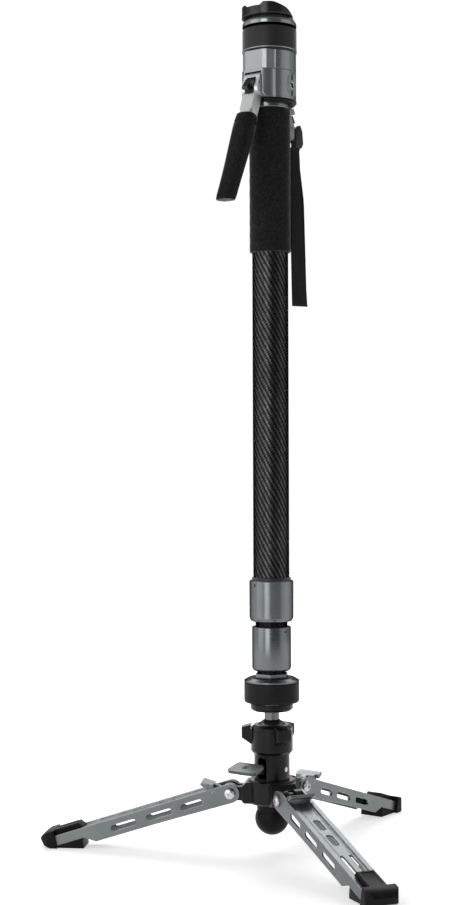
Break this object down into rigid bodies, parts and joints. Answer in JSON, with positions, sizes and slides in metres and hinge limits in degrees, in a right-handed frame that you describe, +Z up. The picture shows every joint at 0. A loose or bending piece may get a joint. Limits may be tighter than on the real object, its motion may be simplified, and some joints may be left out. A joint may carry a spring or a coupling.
{
  "type": "camera monopod",
  "caption": "Carbon camera monopod with squeeze-lever height release, foam grip, pan and tilt ball foot, foot pedal and folding channel legs.",
  "frame": {"origin": "on the floor under the mast axis, in the plane of the three rubber soles", "axes": "+Z up along the mast; the lever and pedal face -Y; the rear leg points along +Y"},
  "size_m": [0.4162, 0.3608, 0.8414],
  "materials": {
    "black_alloy": "satin",
    "grey_alloy": "satin",
    "bright_alloy": "satin",
    "steel": "satin",
    "carbon": "satin",
    "foam": "matte",
    "rubber": "matte",
    "plastic": "matte",
    "nylon": "matte",
    "webbing": "matte"
  },
  "bodies": {
    "base": {"base_hub": "black_alloy", "foot_stud": "steel", "bumper": "rubber", "base_tube": "black_alloy", "leg_pins": "steel", "socket_body": "black_alloy", "socket_cap": "black_alloy", "pedal_pin": "steel"},
    "pedal": {"pedal_arm": "black_alloy", "pedal_plate": "grey_alloy", "pedal_screw": "steel"},
    "brake": {"brake_plunger": "steel"},
    "left_leg": {"leg_left": "grey_alloy", "foot_left": "rubber"},
    "right_leg": {"leg_right": "grey_alloy", "foot_right": "rubber"},
    "rear_leg": {"leg_rear": "grey_alloy", "foot_rear": "rubber"},
    "left_latch": {"latch_left": "grey_alloy"},
    "right_latch": {"latch_right": "grey_alloy"},
    "rear_latch": {"latch_rear": "grey_alloy"},
    "ball_ring": {"ball_liner": "nylon"},
    "ball": {"ball_stem": "grey_alloy", "pan_flange": "black_alloy", "pan_core": "steel"},
    "lower": {"pan_plate": "grey_alloy", "hex_collar": "grey_alloy", "lower_tube": "carbon", "lower_clutch": "plastic"},
    "pan_lock": {"pan_ring": "rubber"},
    "middle": {"middle_tube": "carbon", "middle_collar": "grey_alloy", "middle_bush": "plastic", "middle_screw": "steel", "middle_clutch": "plastic"},
    "middle_cam": {"middle_rod": "steel"},
    "upper": {"upper_tube": "carbon", "upper_collar": "grey_alloy", "upper_bush": "plastic", "upper_screw": "steel", "tube_seal": "plastic", "grip": "foam", "neck_ring": "bright_alloy", "housing_plate": "black_alloy", "housing": "grey_alloy", "panel_ring": "grey_alloy", "accessory_socket": "grey_alloy", "lever_pin": "steel", "head_disc": "bright_alloy", "head_jaw": "black_alloy", "head_stud": "steel", "strap_lug": "bright_alloy"},
    "upper_cam": {"upper_rod": "steel"},
    "lever": {"lever_arm": "bright_alloy", "lever_grip": "foam"},
    "lever_catch": {"lever_lock": "plastic"},
    "head_lock": {"lock_ring": "rubber"},
    "pawl": {"jaw_pawl": "steel"},
    "wrist_strap": {"strap_buckle": "plastic", "strap": "webbing"}
  },
  "joints": [
    {"name": "left_leg_fold", "type": "hinge", "parent": "base", "child": "left_leg", "pos_m": [-0.03559, -0.02055, 0.058], "axis": [-0.5, 0.866, 0], "range_deg": [0, 107.5]},
    {"name": "right_leg_fold", "type": "hinge", "parent": "base", "child": "right_leg", "pos_m": [0.03559, -0.02055, 0.058], "axis": [0.5, 0.866, 0], "range_deg": [-107.5, 0]},
    {"name": "rear_leg_fold", "type": "hinge", "parent": "base", "child": "rear_leg", "pos_m": [0, 0.0411, 0.058], "axis": [-1, 0, 0], "range_deg": [-107.5, 0]},
    {"name": "left_latch_press", "type": "hinge", "parent": "left_leg", "child": "left_latch", "pos_m": [-0.04942, -0.02853, 0.05874], "axis": [0.5, -0.866, 0], "range_deg": [0, 10], "stiffness_Nm_per_rad": 0.15, "springref_deg": -11.46},
    {"name": "right_latch_press", "type": "hinge", "parent": "right_leg", "child": "right_latch", "pos_m": [0.04942, -0.02853, 0.05874], "axis": [0.5, 0.866, 0], "range_deg": [0, 10], "stiffness_Nm_per_rad": 0.15, "springref_deg": -11.46},
    {"name": "rear_latch_press", "type": "hinge", "parent": "rear_leg", "child": "rear_latch", "pos_m": [0, 0.05706, 0.05874], "axis": [-1, 0, 0], "range_deg": [0, 10], "stiffness_Nm_per_rad": 0.15, "springref_deg": -11.46},
    {"name": "pedal_step", "type": "hinge", "parent": "base", "child": "pedal", "pos_m": [0, 0, 0.0822], "axis": [-1, 0, 0], "range_deg": [-10, 20]},
    {"name": "brake_lift", "type": "slide", "parent": "base", "child": "brake", "axis": [0, 0, 1], "range_m": [-0.0015, 0.0008]},
    {"name": "tilt_front", "type": "hinge", "parent": "base", "child": "ball_ring", "pos_m": [0, 0, 0.1166], "axis": [-1, 0, 0], "range_deg": [-15, 15]},
    {"name": "tilt_side", "type": "hinge", "parent": "ball_ring", "child": "ball", "pos_m": [0, 0, 0.1166], "axis": [0, 1, 0], "range_deg": [-15, 15]},
    {"name": "pan_turn", "type": "hinge", "parent": "ball", "child": "lower", "pos_m": [0, 0, 0.15], "axis": [0, 0, 1], "continuous": true},
    {"name": "pan_lock_turn", "type": "hinge", "parent": "lower", "child": "pan_lock", "pos_m": [0, 0, 0.16], "axis": [0, 0, 1], "range_deg": [0, 40]},
    {"name": "middle_slide", "type": "slide", "parent": "lower", "child": "middle", "axis": [0, 0, 1], "range_m": [0, 0.4]},
    {"name": "upper_slide", "type": "slide", "parent": "middle", "child": "upper", "axis": [0, 0, 1], "range_m": [0, 0.4]},
    {"name": "lever_squeeze", "type": "hinge", "parent": "upper", "child": "lever", "pos_m": [0, -0.024, 0.7648], "axis": [1, 0, 0], "range_deg": [0, 10], "stiffness_Nm_per_rad": 0.6, "springref_deg": -20.05},
    {"name": "upper_rod_turn", "type": "hinge", "parent": "upper", "child": "upper_cam", "pos_m": [0, 0, 0.747], "axis": [0, 0, 1], "range_deg": [0, 16]},
    {"name": "middle_rod_turn", "type": "hinge", "parent": "middle", "child": "middle_cam", "pos_m": [0, 0, 0.728], "axis": [0, 0, 1], "range_deg": [0, 16]},
    {"name": "lever_lock_flip", "type": "hinge", "parent": "lever", "child": "lever_catch", "pos_m": [0, -0.0304, 0.76077], "axis": [-1, 0, 0], "range_deg": [0, 28]},
    {"name": "head_lock_turn", "type": "hinge", "parent": "upper", "child": "head_lock", "pos_m": [0, 0, 0.811], "axis": [0, 0, 1], "range_deg": [0, 40]},
    {"name": "pawl_draw", "type": "slide", "parent": "upper", "child": "pawl", "axis": [0, 1, 0], "range_m": [0, 0.0031]},
    {"name": "strap_swing", "type": "hinge", "parent": "upper", "child": "wrist_strap", "pos_m": [0.00993, 0.0213, 0.7233], "axis": [0.9063, -0.4226, 0], "range_deg": [0, 25]}
  ],
  "couplings": [
    {"joint": "brake_lift", "follows": "pedal_step", "m_per_rad": -0.004},
    {"joint": "upper_rod_turn", "follows": "lever_squeeze", "ratio": 1.5},
    {"joint": "middle_rod_turn", "follows": "lever_squeeze", "ratio": 1.5},
    {"joint": "pawl_draw", "follows": "head_lock_turn", "m_per_rad": 0.0043}
  ]
}
